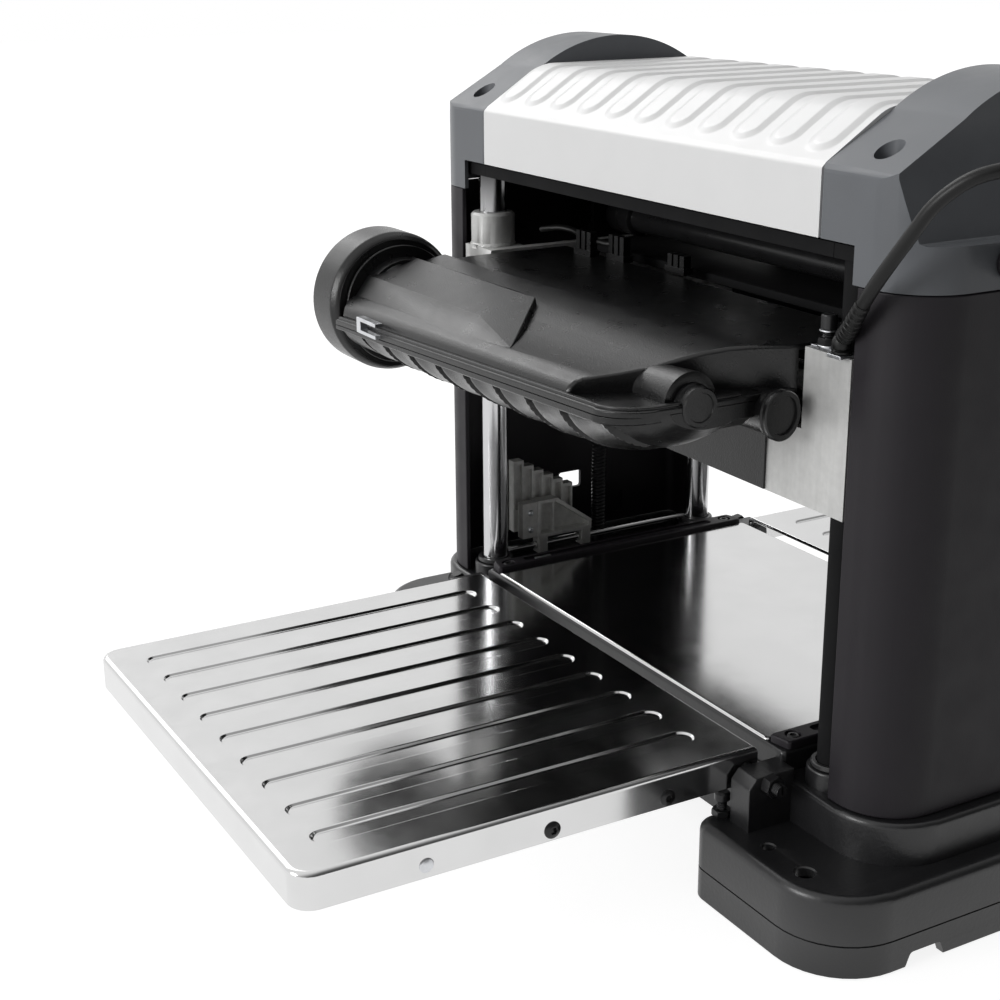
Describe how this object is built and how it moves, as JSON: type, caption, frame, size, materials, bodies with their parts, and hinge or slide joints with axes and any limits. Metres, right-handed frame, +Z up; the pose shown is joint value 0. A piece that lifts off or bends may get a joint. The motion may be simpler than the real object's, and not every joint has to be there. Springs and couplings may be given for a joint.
{
  "type": "thickness planer",
  "caption": "Benchtop thickness planer with fold-up feed tables, a crank-lifted cutter carriage on guide columns, a rear dust hood and a white ribbed top cover",
  "frame": {"origin": "on the bench under the middle of the bed", "axes": "X across the machine, +Y towards the infeed side, +Z up"},
  "size_m": [0.6239, 0.848, 0.4816],
  "materials": {
    "black_casting": "satin black powder coat on a casting",
    "cover_plastic": "fine-grained black plastic",
    "cap_plastic": "fine-grained dark grey plastic",
    "hood_plastic": "satin black moulded plastic",
    "switch_plastic": "glossy red plastic",
    "white_sheet": "white powder coat on pressed sheet",
    "cast_aluminium": "bare machined casting",
    "die_casting": "bare die casting",
    "bright_steel": "polished bright plate",
    "ground_steel": "ground steel",
    "black_steel": "black oxide or black paint on steel",
    "zinc_plate": "zinc plating",
    "bronze": "bearing bronze",
    "rubber": "black rubber"
  },
  "bodies": {
    "frame": {"base": "black_casting", "bed_plate": "bright_steel", "upper_frame": "black_steel", "top_cover": "white_sheet", "stop_rod": "bright_steel", "switch_box": "cover_plastic", "depth_scale": "white_sheet", "lead_gland": "cover_plastic", "left_bed_guide": "cover_plastic", "left_gear_bracket": "black_steel", "left_column_cover": "cover_plastic", "left_side_cap": "cap_plastic", "rear_left_column": "bright_steel", "rear_left_pivot_bolt": "black_steel", "front_left_column": "bright_steel", "front_left_pivot_bolt": "black_steel", "right_bed_guide": "cover_plastic", "right_gear_bracket": "black_steel", "right_column_cover": "cover_plastic", "right_side_cap": "cap_plastic", "rear_right_column": "bright_steel", "rear_right_pivot_bolt": "black_steel", "front_right_column": "bright_steel", "front_right_pivot_bolt": "black_steel"},
    "crank": {"cross_shaft": "black_steel", "crank_arm": "black_casting"},
    "crank_grip": {"crank_knob": "cover_plastic"},
    "left_screw": {"left_lead_screw": "black_steel"},
    "right_screw": {"right_lead_screw": "black_steel"},
    "carriage": {"carriage_casting": "cast_aluminium", "left_lead_nut": "bronze", "right_lead_nut": "bronze", "left_cutter_bearing": "ground_steel", "right_cutter_bearing": "ground_steel", "motor": "black_steel", "feed_chain": "ground_steel", "drive_belt": "rubber", "hood_upper": "hood_plastic", "hood_lower": "hood_plastic", "dust_port": "hood_plastic", "scale_pointer": "switch_plastic", "cable_clip": "zinc_plate", "lead_elbow": "rubber", "motor_lead": "rubber"},
    "cutter": {"cutterhead": "ground_steel", "knife_1": "bright_steel", "knife_2": "bright_steel", "knife_3": "bright_steel", "cutter_pulley": "ground_steel"},
    "motor_shaft": {"motor_rotor": "ground_steel"},
    "outfeed_feed": {"outfeed_roller": "rubber", "outfeed_sprocket": "ground_steel"},
    "infeed_feed": {"infeed_roller": "rubber", "infeed_sprocket": "ground_steel"},
    "outfeed_wing": {"outfeed_table": "bright_steel"},
    "infeed_wing": {"infeed_table": "bright_steel"},
    "depth_stop": {"stop_slider": "die_casting", "stop_steps": "die_casting"},
    "paddle": {"switch_paddle": "switch_plastic"},
    "reset": {"breaker_button": "cover_plastic"}
  },
  "joints": [
    {"name": "crank_turn", "type": "hinge", "parent": "frame", "child": "crank", "pos_m": [0, 0.012, 0.349], "axis": [1, 0, 0], "range_deg": [-32855, 5]},
    {"name": "carriage_lift", "type": "slide", "parent": "frame", "child": "carriage", "axis": [0, 0, 1], "range_m": [-0.146, 0], "deforming": ["motor_lead"]},
    {"name": "left_screw_turn", "type": "hinge", "parent": "frame", "child": "left_screw", "pos_m": [-0.222, 0.012, 0.2], "axis": [0, 0, 1], "range_deg": [-32855, 5]},
    {"name": "right_screw_turn", "type": "hinge", "parent": "frame", "child": "right_screw", "pos_m": [0.222, 0.012, 0.2], "axis": [0, 0, -1], "range_deg": [-32855, 5]},
    {"name": "crank_knob_spin", "type": "hinge", "parent": "crank", "child": "crank_grip", "pos_m": [-0.29, 0.012, 0.274], "axis": [1, 0, 0], "continuous": true},
    {"name": "cutterhead_spin", "type": "hinge", "parent": "carriage", "child": "cutter", "pos_m": [0, 0, 0.267], "axis": [1, 0, 0], "continuous": true},
    {"name": "motor_spin", "type": "hinge", "parent": "carriage", "child": "motor_shaft", "pos_m": [0.17, 0.062, 0.373], "axis": [1, 0, 0], "continuous": true},
    {"name": "outfeed_roller_spin", "type": "hinge", "parent": "carriage", "child": "outfeed_feed", "pos_m": [0, -0.058, 0.261], "axis": [1, 0, 0], "continuous": true},
    {"name": "infeed_roller_spin", "type": "hinge", "parent": "carriage", "child": "infeed_feed", "pos_m": [0, 0.058, 0.261], "axis": [1, 0, 0], "continuous": true},
    {"name": "outfeed_table_fold", "type": "hinge", "parent": "frame", "child": "outfeed_wing", "pos_m": [0, -0.134, 0.079], "axis": [-1, 0, 0], "range_deg": [0, 58]},
    {"name": "infeed_table_fold", "type": "hinge", "parent": "frame", "child": "infeed_wing", "pos_m": [0, 0.134, 0.079], "axis": [1, 0, 0], "range_deg": [0, 85]},
    {"name": "depth_stop_slide", "type": "slide", "parent": "frame", "child": "depth_stop", "axis": [0, 1, 0], "range_m": [-0.004, 0.024]},
    {"name": "switch_paddle_swing", "type": "hinge", "parent": "frame", "child": "paddle", "pos_m": [-0.234, 0.1223, 0.352], "axis": [1, 0, 0], "range_deg": [0, 20]},
    {"name": "breaker_button_press", "type": "slide", "parent": "frame", "child": "reset", "axis": [0, -1, 0], "range_m": [0, 0.003], "stiffness_N_per_m": 600}
  ],
  "couplings": [
    {"joint": "crank_turn", "follows": "carriage_lift", "rad_per_m": 3927},
    {"joint": "left_screw_turn", "follows": "carriage_lift", "rad_per_m": 3927},
    {"joint": "right_screw_turn", "follows": "carriage_lift", "rad_per_m": 3927},
    {"joint": "motor_spin", "follows": "cutterhead_spin", "ratio": 1.2857},
    {"joint": "outfeed_roller_spin", "follows": "cutterhead_spin", "ratio": -0.008333},
    {"joint": "infeed_roller_spin", "follows": "cutterhead_spin", "ratio": -0.008333}
  ]
}
